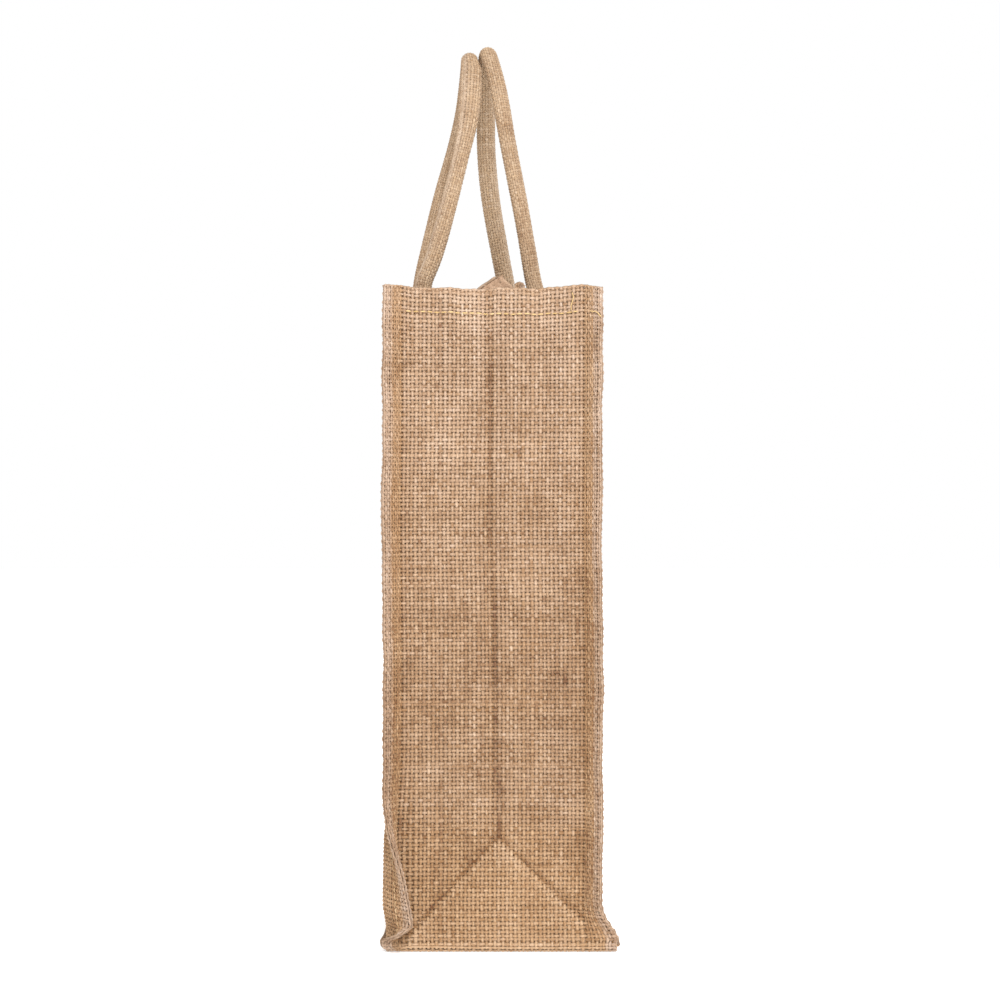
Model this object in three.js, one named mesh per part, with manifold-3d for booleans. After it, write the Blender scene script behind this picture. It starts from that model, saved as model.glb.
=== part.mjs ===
// A jute gift bag for one wine bottle, with two padded webbing handles. Millimetres, +Z up.
// The origin is the centre of the base's underside. The near gusset faces -Y, the far gusset +Y,
// the front panel faces -X and the back panel +X. Both handles lean inward until they touch.
import * as THREE from "three";
import { mergeVertices } from "three/addons/utils/BufferGeometryUtils.js";
import Module from "manifold-3d";

// Driving dimensions of the bag's body
const BODY_HEIGHT = 350;
const HALF_WIDTH = 48.6; // from the axis to the corner seams, both ways
const CLOTH = 1.2;
const LAYER = 0.92; // from the middle of a seam to the middle of either of its two cloths
const SEAM_ALLOWANCE = 12;
const TURN_RADIUS = 4; // where the gusset strip turns under the base
const SQUARE_BELOW = 230; // the section is square up to this height, and follows the mouth above it
const RIDGE_TURN = 48; // below this height the seam ridges turn to stand straight out of the panels

// The mouth: where its corners lie, and how its two panels and its far gusset bow inward
const MOUTH = {
  nearFront: [-48.6, -48.6],
  nearBack: [48.6, -48.6],
  farBack: [9.5, 37.7],
  farFront: [-50, 47],
};
const FRONT_PANEL_BOW = [[-42.2, 16.2], [-31.1, -19.1]];
const BACK_PANEL_BOW = [[18.8, -30.2], [12.7, 5.7]];
const FAR_GUSSET_FOLD = 32;

// Hem, threads and handles
const HEM_DEPTH = 18;
const HEM_FOLD = 1.5; // what the turned-in hem adds to the cloth
const HEM_STITCH_BELOW_RIM = 13;
const HEM_CLEAR_OF_SEAM = 4; // the hem lies single this close to a seam
const GAP = 0.3;
const END_GAP = 0.6; // between the hem and the flattened handle ends
const THREAD_RADIUS = 0.4;
const HANDLE_RADIUS = 4.75;
const COVER_WALL = 1.2;
const END_WIDTH = 12;
const END_THICKNESS = 2.8;
const END_TOP = BODY_HEIGHT + 1;
const END_BOTTOM = BODY_HEIGHT - 32;
const LEG_FROM_SEAM = { front: [23.6, 23.6], back: [23.6, 17.5] }; // near end, then far end
const END_STITCH_HALF = [4, 5]; // half the width and half the height of a box stitch
const END_STITCH_HEIGHT = BODY_HEIGHT - 24;

// The middle line of each handle, from its near leg over the top to its far leg
const FRONT_HANDLE_LINE = [
  [-37.2, -25, 353.5], [-30.8, -25.5, 371], [-21.6, -25.5, 405], [-15.8, -24.5, 431],
  [-13.6, -19, 456], [-12.9, -9.5, 473], [-12.8, 0, 479.3], [-13.6, 10, 474],
  [-16, 20, 457], [-21, 25, 436], [-29, 26, 408], [-36.6, 25.5, 377], [-40.9, 25, 353.5],
];
const BACK_HANDLE_LINE = [
  [22.3, -25, 353.5], [19.2, -25, 371], [14.6, -25, 397], [8.2, -24.5, 430],
  [3.6, -19.5, 457], [-0.9, -10, 476], [-3, 0, 482.2], [-3.6, 10, 477],
  [-3.9, 20, 458], [-3.6, 24.5, 431], [-0.9, 25, 404], [4, 25, 376], [7.9, 25, 353.5],
];

const paints = {
  jute: new THREE.MeshStandardMaterial({ color: 0xc59b6d, roughness: 0.92, metalness: 0 }),
  webbing: new THREE.MeshStandardMaterial({ color: 0xd1ac78, roughness: 0.88, metalness: 0 }),
  rope: new THREE.MeshStandardMaterial({ color: 0xd9cdb4, roughness: 0.95, metalness: 0 }),
  thread: new THREE.MeshStandardMaterial({ color: 0xd8b878, roughness: 0.8, metalness: 0 }),
};

const wasm = await Module();
wasm.setup();

const bag = new THREE.Group();

function addPiece(name, geometry, paint) {
  const mesh = new THREE.Mesh(geometry, paint);
  mesh.name = name;
  bag.add(mesh);
}

function flat(x, y) {
  return new THREE.Vector3(x, y, 0);
}

// 0 at the square section and 1 at the mouth
function mouthShare(z) {
  return THREE.MathUtils.smoothstep(z, SQUARE_BELOW, BODY_HEIGHT);
}

function bowed(from, bow, to) {
  return new THREE.CubicBezierCurve3(flat(...from), flat(...bow[0]), flat(...bow[1]), flat(...to));
}

const frontMouth = bowed(MOUTH.farFront, FRONT_PANEL_BOW, MOUTH.nearFront);
const backMouth = bowed(MOUTH.nearBack, BACK_PANEL_BOW, MOUTH.farBack);

// The far gusset folds inward at the mouth, because the back panel leans over it.
function farMouth(u) {
  const [x0, y0] = MOUTH.farFront;
  const [x1, y1] = MOUTH.farBack;
  const fold = FAR_GUSSET_FOLD * Math.sin(Math.PI * u) ** 2;
  return flat(THREE.MathUtils.lerp(x0, x1, u), THREE.MathUtils.lerp(y0, y1, u) - fold);
}

// Each wall runs from one corner to another. `out` is the sign of tangent x Z that faces outward.
const W = HALF_WIDTH;
const walls = {
  near: { ends: [[-W, -W], [W, -W]], mouth: (u) => flat(THREE.MathUtils.lerp(-W, W, u), -W), out: 1 },
  back: { ends: [[W, -W], [W, W]], mouth: (u) => backMouth.getPoint(u), out: 1 },
  far: { ends: [[-W, W], [W, W]], mouth: farMouth, out: -1 },
  front: { ends: [[-W, W], [-W, -W]], mouth: (u) => frontMouth.getPoint(u), out: 1 },
};

// A point on the seam line of a wall, u of the way along it, at height z
function wallLine(wall, u, z) {
  const [from, to] = walls[wall].ends;
  const straight = flat(...from).lerp(flat(...to), u);
  return straight.lerp(walls[wall].mouth(u), mouthShare(z)).setZ(z);
}

function wallTangent(wall, u, z) {
  const step = 0.01;
  const ahead = wallLine(wall, Math.min(u + step, 1), z);
  return ahead.sub(wallLine(wall, Math.max(u - step, 0), z)).normalize();
}

function wallOutward(wall, u, z) {
  const t = wallTangent(wall, u, z);
  return new THREE.Vector3(t.y, -t.x, 0).multiplyScalar(walls[wall].out);
}

// A point of a wall, `depth` inward of the middle of its cloth
function inWall(wall, u, z, depth) {
  return wallLine(wall, u, z).addScaledVector(wallOutward(wall, u, z), LAYER - depth);
}

// Each corner seam joins the end of a gusset wall to the end of a panel.
const corners = {
  nearFront: { gusset: ["near", 0], panel: ["front", 1] },
  nearBack: { gusset: ["near", 1], panel: ["back", 0] },
  farBack: { gusset: ["far", 1], panel: ["back", 1] },
  farFront: { gusset: ["far", 0], panel: ["front", 0] },
};

function leaving([wall, u], z) {
  return wallTangent(wall, u, z).multiplyScalar(u > 0.5 ? 1 : -1);
}

// Where a corner seam is at height z, which way its ridge stands, and the side its gusset cloth is on
function seamAt(corner, z) {
  const { gusset, panel } = corners[corner];
  const root = wallLine(gusset[0], gusset[1], z);
  const diagonal = leaving(gusset, z).add(leaving(panel, z)).normalize();
  const turned = THREE.MathUtils.smoothstep(z, CLOTH / 2 + TURN_RADIUS, RIDGE_TURN);
  const along = new THREE.Vector3(Math.sign(root.x), 0, 0).lerp(diagonal, turned).normalize();
  const side = new THREE.Vector3(along.y, -along.x, 0);
  const outward = wallOutward(gusset[0], gusset[1], z);
  return { root, along, side: side.multiplyScalar(Math.sign(side.dot(outward))) };
}

// A point on one cloth of a seam ridge: layer 1 is the gusset's side, -1 the panel's
function onRidge(corner, z, layer, out) {
  const { root, along, side } = seamAt(corner, z);
  return root.addScaledVector(side, layer * LAYER).addScaledVector(along, out);
}

// A cloth as one closed solid: a box with a cell between each two neighbouring columns and rows.
// `place` gives the middle of the cloth, and `inner` how far its inner face is from there.
function clothSolid(columns, rows, place, inner) {
  const across = columns.length - 1;
  const along = rows.length - 1;
  const middle = new THREE.PlaneGeometry(1, 1, across, along);
  const spots = middle.attributes.position;
  for (let i = 0; i < spots.count; i++) {
    const column = columns[Math.round((spots.getX(i) + 0.5) * across)];
    const row = rows[Math.round((spots.getY(i) + 0.5) * along)];
    spots.setXYZ(i, ...place(column, row).toArray());
  }
  middle.computeVertexNormals();
  const solid = new THREE.BoxGeometry(1, 1, 1, across, along, 1);
  const points = solid.attributes.position;
  for (let i = 0; i < points.count; i++) {
    const c = Math.round((points.getX(i) + 0.5) * across);
    const r = Math.round((points.getY(i) + 0.5) * along);
    const k = (along - r) * (across + 1) + c;
    const depth = points.getZ(i) > 0 ? CLOTH / 2 : -inner(columns[c], rows[r]);
    const spot = new THREE.Vector3().fromBufferAttribute(spots, k);
    const normal = new THREE.Vector3().fromBufferAttribute(middle.attributes.normal, k);
    points.setXYZ(i, ...spot.addScaledVector(normal, depth).toArray());
  }
  return solid;
}

function toSolid(geometry) {
  const bare = geometry.clone().deleteAttribute("normal").deleteAttribute("uv");
  const merged = mergeVertices(bare, 1e-3);
  return new wasm.Manifold(new wasm.Mesh({
    numProp: 3,
    vertProperties: merged.attributes.position.array,
    triVerts: new Uint32Array(merged.index.array),
  }));
}

function fromSolid(solid) {
  const mesh = solid.getMesh();
  const geometry = new THREE.BufferGeometry();
  geometry.setAttribute("position", new THREE.BufferAttribute(mesh.vertProperties, 3));
  geometry.setIndex(new THREE.BufferAttribute(mesh.triVerts, 1));
  geometry.computeVertexNormals();
  return geometry;
}

// Columns across a wall: the ridge's edge and the seam at each end, and shares of the width between
const FROM_SEAM = [3.25, 12, 24, 36].map((distance) => distance / (2 * W));
const INNER_COLUMNS = [...FROM_SEAM, 0.5, ...FROM_SEAM.map((share) => 1 - share).reverse()];

const RIDGE_OUTS = [SEAM_ALLOWANCE, SEAM_ALLOWANCE / 2, 0];

function wallColumns(first, last) {
  return [
    ...RIDGE_OUTS.map((out) => ({ corner: first, out, u: 0 })),
    ...INNER_COLUMNS.map((u) => ({ u })),
    ...RIDGE_OUTS.map((out) => ({ corner: last, out, u: 1 })).reverse(),
  ];
}

// Row heights from the base's turn to the rim, with the hem's lower edge as a step
const BASE_TURN_Z = CLOTH / 2 + TURN_RADIUS;
const HEM_EDGE = BODY_HEIGHT - HEM_DEPTH;
const TURN_ROWS = [0.1, 0.25, 0.4, 0.55, 0.7, 0.85, 1].map((share) => ({
  z: THREE.MathUtils.lerp(BASE_TURN_Z, RIDGE_TURN, share),
}));
const UPPER_ROWS = [
  ...TURN_ROWS, { z: 90 }, { z: 160 }, { z: SQUARE_BELOW }, { z: 260 },
  { z: 285 }, { z: 310 }, { z: HEM_EDGE - 0.5 }, { z: HEM_EDGE, hem: true },
  { z: BODY_HEIGHT - 9, hem: true }, { z: BODY_HEIGHT, hem: true },
];

function innerFace(column, row) {
  const fromSeam = Math.min(column.u, 1 - column.u) * 2 * W;
  const inHem = row.hem && fromSeam > HEM_CLEAR_OF_SEAM;
  return CLOTH / 2 + (inHem ? HEM_FOLD : 0);
}

// The gusset strip: far wall, base and near wall in one length
const FAR_CORNERS = { nearFront: "farFront", nearBack: "farBack" };
const TURN_STEPS = 3;

function stripRows() {
  const nearWall = [{ z: BASE_TURN_Z }, ...UPPER_ROWS].map((row) => ({ ...row, wall: "near" }));
  const farWall = nearWall.map((row) => ({ ...row, wall: "far" })).reverse();
  const turn = [];
  for (let i = 1; i <= TURN_STEPS; i++) turn.push({ angle: (i / TURN_STEPS) * (Math.PI / 2) });
  const farTurn = turn.map((row) => ({ ...row, side: 1 }));
  const nearTurn = turn.map((row) => ({ ...row, side: -1 })).reverse();
  return [...farWall, ...farTurn, { base: 15 }, { base: -15 }, ...nearTurn, ...nearWall];
}

function placeStrip(column, row) {
  if (row.wall) {
    if (!column.corner) return inWall(row.wall, column.u, row.z, 0);
    const corner = row.wall === "far" ? FAR_CORNERS[column.corner] : column.corner;
    return onRidge(corner, row.z, 1, column.out);
  }
  const x = THREE.MathUtils.lerp(-W, W, column.u) + (column.u > 0.5 ? 1 : -1) * (column.out ?? 0);
  if (row.base !== undefined) return new THREE.Vector3(x, row.base, CLOTH / 2);
  const y = W + LAYER - TURN_RADIUS * (1 - Math.cos(row.angle));
  return new THREE.Vector3(x, row.side * y, BASE_TURN_Z - TURN_RADIUS * Math.sin(row.angle));
}

addPiece(
  "gusset_strip",
  clothSolid(wallColumns("nearFront", "nearBack"), stripRows(), placeStrip, innerFace),
  paints.jute,
);

// A main panel: its wall with the two upright seam allowances, joined to the bottom allowance,
// which lies on the strip's own and stands straight out
function panelSolid(wall, first, last, sign) {
  const flangeZ = CLOTH / 2 + 2 * LAYER;
  const place = (column, row) => {
    if (column.corner) return onRidge(column.corner, row.z ?? BASE_TURN_Z, -1, column.out);
    return inWall(wall, column.u, row.z ?? flangeZ - CLOTH / 2, 0);
  };
  const upright = clothSolid(wallColumns(first, last), [{}, ...UPPER_ROWS], place, innerFace);
  const root = W + LAYER - CLOTH / 2;
  const edge = W + SEAM_ALLOWANCE + CLOTH / 2;
  const allowance = new THREE.BoxGeometry(edge - root, 2 * (W + LAYER - TURN_RADIUS), CLOTH);
  allowance.translate((sign * (root + edge)) / 2, 0, flangeZ);
  return fromSolid(toSolid(upright).add(toSolid(allowance)));
}

addPiece("front_panel", panelSolid("front", "farFront", "nearFront", -1), paints.jute);
addPiece("back_panel", panelSolid("back", "nearBack", "farBack", 1), paints.jute);

// A tube along an open curve, with a round section of a few sides
function tube(points, radius, sides, steps, bore = 0) {
  const section = new THREE.Shape().absarc(0, 0, radius, 0, 2 * Math.PI);
  if (bore) section.holes.push(new THREE.Path().absarc(0, 0, bore, 0, 2 * Math.PI));
  const line = new THREE.CatmullRomCurve3(points, false, "centripetal");
  return new THREE.ExtrudeGeometry(section, { extrudePath: line, steps, curveSegments: sides / 2 });
}

// A closed ring of thread through the given points, anticlockwise about `axis`
function threadRing(points, axis) {
  const count = points.length;
  const ring = new THREE.TorusGeometry(2, 1, 4, count);
  const spots = ring.attributes.position;
  for (let i = 0; i < spots.count; i++) {
    const around = i % (count + 1);
    const turn = (Math.floor(i / (count + 1)) / 4) * 2 * Math.PI;
    const k = around % count;
    const tangent = points[(k + 1) % count].clone().sub(points[(k + count - 1) % count]).normalize();
    const up = axis.clone().addScaledVector(tangent, -axis.dot(tangent)).normalize();
    const outward = tangent.clone().cross(up);
    const spot = points[k].clone().addScaledVector(outward, THREAD_RADIUS * Math.cos(turn));
    spot.addScaledVector(up, THREAD_RADIUS * Math.sin(turn));
    spots.setXYZ(i, ...spot.toArray());
  }
  return ring;
}

// The lockstitch of a panel lies on the panel's side of the ridge, and on the bottom allowance.
const SEAM_STITCH_OUT = 3.2;

function seamThread(nearCorner, farCorner, sign) {
  const beside = -(LAYER + CLOTH / 2 + 1.5 * GAP + THREAD_RADIUS) / LAYER;
  const turn = TURN_ROWS.map((row) => row.z).reverse();
  const heights = [HEM_EDGE - 6, 300, 265, SQUARE_BELOW, 150, 80, ...turn];
  const down = heights.map((z) => onRidge(nearCorner, z, beside, SEAM_STITCH_OUT));
  const up = heights.map((z) => onRidge(farCorner, z, beside, SEAM_STITCH_OUT)).reverse();
  const x = sign * (W + SEAM_STITCH_OUT);
  const z = CLOTH + 2 * LAYER + 3 * GAP + THREAD_RADIUS;
  const y = W + LAYER - TURN_RADIUS;
  const bottom = [-y + 2, -25, 0, 25, y - 2].map((spot) => new THREE.Vector3(x, spot, z));
  return tube([...down, ...bottom, ...up], THREAD_RADIUS, 4, 56);
}

addPiece("front_seam_thread", seamThread("nearFront", "farFront", -1), paints.thread);
addPiece("back_seam_thread", seamThread("nearBack", "farBack", 1), paints.thread);

// Shares of a panel's width at which its two handle ends are centred, near end first
const [frontNear, frontFar, backNear, backFar] =
  [...LEG_FROM_SEAM.front, ...LEG_FROM_SEAM.back].map((distance) => distance / (2 * W));
const endShares = {
  front: [1 - frontNear, frontFar],
  back: [backNear, 1 - backFar],
};
const PANEL_LENGTH = 98.4; // along the bowed mouth of either panel
const HEM_INNER = CLOTH / 2 + HEM_FOLD;
const ON_HEM = HEM_INNER + GAP + THREAD_RADIUS;
const ON_END = HEM_INNER + END_GAP + END_THICKNESS + GAP + THREAD_RADIUS;

// The hem's thread inside the mouth passes over the four handle ends.
function hemThread() {
  const z = BODY_HEIGHT - HEM_STITCH_BELOW_RIM;
  const bare = [];
  for (let k = 0; k <= 14; k++) bare.push([0.08 + (0.84 * k) / 14, ON_HEM + GAP]);
  const overEnds = (panel) => {
    const stops = [[0.08, ON_HEM], [0.5, ON_HEM], [0.92, ON_HEM]];
    for (const share of endShares[panel]) {
      for (const side of [-1, 1]) {
        stops.push([share + (side * (END_WIDTH / 2 + 3)) / PANEL_LENGTH, ON_HEM]);
        stops.push([share + (side * (END_WIDTH / 2 + 0.5)) / PANEL_LENGTH, ON_END]);
      }
    }
    return stops.sort((a, b) => a[0] - b[0]);
  };
  const onWall = (wall, stops) => stops.map(([u, depth]) => inWall(wall, u, z, depth));
  const points = [
    ...onWall("near", bare), ...onWall("back", overEnds("back")),
    ...onWall("far", bare).reverse(), ...onWall("front", overEnds("front")),
  ];
  return threadRing(points, new THREE.Vector3(0, 0, 1));
}

addPiece("hem_thread", hemThread(), paints.thread);

// A handle end: webbing pressed flat on the inside of the hem
function handleEnd(panel, share) {
  const half = END_WIDTH / 2 / PANEL_LENGTH;
  const columns = [share - half, share, share + half];
  const rows = [END_BOTTOM, END_BOTTOM + 16, END_TOP];
  const solid = new THREE.BoxGeometry(1, 1, 1, columns.length - 1, rows.length - 1, 1);
  const spots = solid.attributes.position;
  for (let i = 0; i < spots.count; i++) {
    const u = columns[Math.round((spots.getX(i) + 0.5) * (columns.length - 1))];
    const z = rows[Math.round((spots.getY(i) + 0.5) * (rows.length - 1))];
    const depth = HEM_INNER + END_GAP + (0.5 - spots.getZ(i)) * END_THICKNESS;
    spots.setXYZ(i, ...inWall(panel, u, z, depth).toArray());
  }
  return solid;
}

function endStitch(panel, share) {
  const [halfWidth, halfHeight] = END_STITCH_HALF;
  const outline = [[-1, -1], [0, -1], [1, -1], [1, 0], [1, 1], [0, 1], [-1, 1], [-1, 0]];
  const points = outline.map(([across, up]) => {
    const u = share + (across * halfWidth) / PANEL_LENGTH;
    return inWall(panel, u, END_STITCH_HEIGHT + up * halfHeight, ON_END);
  });
  return threadRing(points, wallOutward(panel, share, END_STITCH_HEIGHT));
}

for (const panel of ["front", "back"]) {
  for (const [i, place] of ["near", "far"].entries()) {
    const share = endShares[panel][i];
    addPiece(`${panel}_handle_${place}_end`, handleEnd(panel, share), paints.webbing);
    addPiece(`${panel}_${place}_end_stitch`, endStitch(panel, share), paints.thread);
  }
}

// A handle: webbing closed round a rope core, with the closing stitches along its outer side
function addHandle(name, line, outward) {
  const points = line.map((spot) => new THREE.Vector3(...spot));
  const bore = HANDLE_RADIUS - COVER_WALL;
  addPiece(`${name}_cover`, tube(points, HANDLE_RADIUS, 10, 34, bore), paints.webbing);
  addPiece(`${name}_core`, tube(points, bore - 0.5, 8, 28), paints.rope);
  const beside = HANDLE_RADIUS + GAP + THREAD_RADIUS;
  const seam = points.slice(1, -1).map((spot) => spot.clone().addScaledVector(outward, beside));
  addPiece(`${name}_closing_thread`, tube(seam, THREAD_RADIUS, 4, 34), paints.thread);
}

addHandle("front_handle", FRONT_HANDLE_LINE, new THREE.Vector3(-1, 0, 0));
addHandle("back_handle", BACK_HANDLE_LINE, new THREE.Vector3(1, 0, 0));

export default bag;
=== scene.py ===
import math

import bmesh
import bpy
import numpy as np
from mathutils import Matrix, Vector


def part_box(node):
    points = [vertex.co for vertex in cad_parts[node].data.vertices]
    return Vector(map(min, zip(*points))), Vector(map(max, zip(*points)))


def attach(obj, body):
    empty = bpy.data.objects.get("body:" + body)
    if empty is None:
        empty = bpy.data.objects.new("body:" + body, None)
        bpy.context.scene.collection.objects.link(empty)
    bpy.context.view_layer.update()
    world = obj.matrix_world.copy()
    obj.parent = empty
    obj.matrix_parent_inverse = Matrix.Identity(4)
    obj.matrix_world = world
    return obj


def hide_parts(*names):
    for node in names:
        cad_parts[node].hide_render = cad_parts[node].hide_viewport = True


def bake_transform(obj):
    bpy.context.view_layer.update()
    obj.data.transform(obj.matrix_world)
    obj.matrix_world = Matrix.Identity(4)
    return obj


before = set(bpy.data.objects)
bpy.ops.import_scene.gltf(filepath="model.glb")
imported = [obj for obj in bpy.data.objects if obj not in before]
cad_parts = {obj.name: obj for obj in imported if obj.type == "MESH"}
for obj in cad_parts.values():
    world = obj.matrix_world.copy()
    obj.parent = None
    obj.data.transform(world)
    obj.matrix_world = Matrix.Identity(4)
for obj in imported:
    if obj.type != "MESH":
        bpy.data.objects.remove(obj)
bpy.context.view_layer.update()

MM = 0.001
rng = np.random.default_rng(26)

# ---------------------------------------------------------------- the bag's figures, in millimetres
SEAM_HALF = 48.6  # middle of the bag to a seam
SPAN = 2 * SEAM_HALF
HEIGHT = 350.0  # floor to rim
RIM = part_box("gusset_strip")[1].z / MM
LAYER = 0.92  # middle of a seam to the middle of either cloth
ALLOWANCE = 12.0  # cloth beyond a seam
SQUARE_BELOW = 230.0  # the walls stand square up to this height
TURN_RADIUS = 4.0  # of the strip where it goes under the base
TURN_Z = 4.6  # where that turn begins
RIDGE_TURN = {"near_front": 14.0, "near_back": 30.0, "far_back": 48.0, "far_front": 48.0}
BASE_Z = 0.6  # middle of the cloth under the base
FLANGE_Z = 2.44  # middle of a panel's bottom allowance
HEM_DEPTH = 18.0
HEM_STITCH_Z = RIM - 13.0
END_DEPTH = 4.1  # cloth middle to the middle of a pressed handle end
HANDLE_RADIUS = 4.75
YARN_PITCH = 2.15
WALL_INSET = 1.9  # seam to the first yarn of a wall
WANDER = 0.16  # how far a yarn strays from its line
LAST_YARN = 11.5  # yarns past this stay straight along the edge

CORNERS = {
    "near_front": ((-SEAM_HALF, -SEAM_HALF), (-48.6, -48.6)),
    "near_back": ((SEAM_HALF, -SEAM_HALF), (48.6, -48.6)),
    "far_back": ((SEAM_HALF, SEAM_HALF), (9.5, 37.7)),
    "far_front": ((-SEAM_HALF, SEAM_HALF), (-50.0, 47.0)),
}
WALLS = {
    "near": ("near_front", "near_back", 1),
    "back": ("near_back", "far_back", 1),
    "far": ("far_front", "far_back", -1),
    "front": ("far_front", "near_front", 1),
}
PANEL_BOW = {
    "front": ((-42.2, 16.2), (-31.1, -19.1)),
    "back": ((18.8, -30.2), (12.7, 5.7)),
}
FAR_FOLD = 32.0  # how deep the far gusset is tucked in
FOLD_TOP, FOLD_MIDDLE = 60.5, 2.8  # where the near gusset's three folds meet
SEAM_WALLS = {
    "near_front": (("near", 0), ("front", 1)),
    "near_back": (("near", 1), ("back", 0)),
    "far_back": (("far", 1), ("back", 1)),
    "far_front": (("far", 0), ("front", 0)),
}
FRONT_HANDLE_LINE = [
    (-37.2, -25, 353.5), (-30.8, -25.5, 371), (-21.6, -25.5, 405), (-15.8, -24.5, 431),
    (-13.6, -19, 456), (-12.9, -9.5, 473), (-12.8, 0, 479.3), (-13.6, 10, 474),
    (-16, 20, 457), (-21, 25, 436), (-29, 26, 408), (-36.6, 25.5, 377), (-40.9, 25, 353.5),
]
BACK_HANDLE_LINE = [
    (22.3, -25, 353.5), (19.2, -25, 371), (14.6, -25, 397), (8.2, -24.5, 430),
    (3.6, -19.5, 457), (-0.9, -10, 476), (-3, 0, 482.2), (-3.6, 10, 477),
    (-3.9, 20, 458), (-3.6, 24.5, 431), (-0.9, 25, 404), (4, 25, 376), (7.9, 25, 353.5),
]


# ---------------------------------------------------------------- small sums
def lerp(a, b, t):
    return a + (b - a) * t


def ease(v, a, b):
    t = np.clip((v - a) / (b - a), 0, 1)
    return t * t * (3 - 2 * t)


def unit(v):
    return v / np.maximum(np.linalg.norm(v, axis=-1, keepdims=True), 1e-9)


def bump(v, middle, reach):
    return np.exp(-(((v - middle) / reach) ** 2))


def drift(shape, every, amount):
    """Smooth random wandering over a table of values, one free choice every so many steps."""
    cells = [max(2, int(n / e) + 2) for n, e in zip(shape, every)]
    seeds = rng.normal(0, 1, cells)
    spots = [np.arange(n) / max(e, 1e-6) for n, e in zip(shape, every)]
    index = [np.minimum(s.astype(int), c - 2) for s, c in zip(spots, cells)]
    part = [np.clip(s - i, 0, 1) for s, i in zip(spots, index)]
    part = [p * p * (3 - 2 * p) for p in part]
    i, j = index[0][:, None], index[1][None, :]
    p, q = part[0][:, None], part[1][None, :]
    table = (
        seeds[i, j] * (1 - p) * (1 - q) + seeds[i + 1, j] * p * (1 - q)
        + seeds[i, j + 1] * (1 - p) * q + seeds[i + 1, j + 1] * p * q
    )
    return table * amount


# ---------------------------------------------------------------- where the cloth hangs
def seam_line(wall, u, z):
    first, last, _ = WALLS[wall]
    u = u[..., None]
    low = lerp(np.array(CORNERS[first][0]), np.array(CORNERS[last][0]), u)
    a, b = np.array(CORNERS[first][1]), np.array(CORNERS[last][1])
    if wall in PANEL_BOW:
        p, q = map(np.array, PANEL_BOW[wall])
        v = 1 - u
        high = a * v**3 + 3 * p * v * v * u + 3 * q * v * u * u + b * u**3
    else:
        high = lerp(a, b, u)
        if wall == "far":
            high = high - np.sin(np.pi * u) ** 2 * np.array((0.0, FAR_FOLD))
    return lerp(low, high, ease(z, SQUARE_BELOW, HEIGHT)[..., None])


def wall_frame(wall, u, z):
    step = 1e-3
    inside = np.clip(u, step, 1 - step)
    tangent = unit(seam_line(wall, inside + step, z) - seam_line(wall, inside - step, z))
    sign = WALLS[wall][2]
    outward = np.stack([tangent[..., 1], -tangent[..., 0]], -1) * sign
    return seam_line(wall, u, z), tangent, outward


def ridge_frame(corner, z):
    """Root, outward direction and gusset side of the ridge along an upright seam."""
    leaving = 0
    for wall, u in SEAM_WALLS[corner]:
        tangent = wall_frame(wall, np.full(z.shape, float(u)), z)[1]
        leaving = leaving + tangent * (1 if u else -1)
    diagonal = unit(leaving)
    if corner.startswith("near"):  # these two stay square to the corner all the way up
        diagonal = np.ones(diagonal.shape) * np.array(CORNERS[corner][0]) / (SEAM_HALF * math.sqrt(2))
    gusset, u = SEAM_WALLS[corner][0]
    root, _, outward = wall_frame(gusset, np.full(z.shape, float(u)), z)
    straight = np.zeros(diagonal.shape)
    straight[..., 0] = np.sign(CORNERS[corner][0][0])
    turned = ease(z, TURN_Z, RIDGE_TURN[corner])
    along = unit(lerp(straight, diagonal, turned[..., None]))
    side = np.stack([along[..., 1], -along[..., 0]], -1)
    side = side * np.sign((side * outward).sum(-1, keepdims=True))
    if corner == "near_front":  # the ridge leans in over the gusset above the bottom corner
        lean = np.radians(82) * ease(z, 5.5, 16) * (1 - ease(z, 8, 92))
        c, s = np.cos(lean)[..., None], np.sin(lean)[..., None]
        along, side = along * c + side * s, side * c - along * s
    return root, along, side


def pressed_folds(x, z):
    """Where the gusset is pressed: the fold up its middle, and the height of the two to the corners."""
    middle = np.interp(z, [0, 60, 200, 350], [FOLD_MIDDLE, FOLD_MIDDLE, 0.2, -2.4])
    slope = np.where(x < FOLD_MIDDLE, 1.1, 0.95)
    return middle, FOLD_TOP - np.abs(x - FOLD_MIDDLE) * slope


def crease_depth(s, z):
    """How far in the gusset's cloth is pushed by its folds."""
    x = s - SEAM_HALF
    middle, fold_z = pressed_folds(x, z)
    above = np.clip((z - fold_z) / 34.0, 0, 1) ** 0.8
    valley = np.clip(1 - np.abs(x - middle) / SEAM_HALF, 0, 1)
    sharp = 3.0 * valley + 1.5 * np.exp(-np.abs(x - middle) / 2.2)
    swell = 1.5 * bump(x, 0, 28) * bump(z, 24, 17)
    crease = 2.2 * np.exp(-np.abs(z - fold_z) / 2.0) * ease(z, 3, 12) * (z < 64)
    return above * sharp + crease - swell


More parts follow.
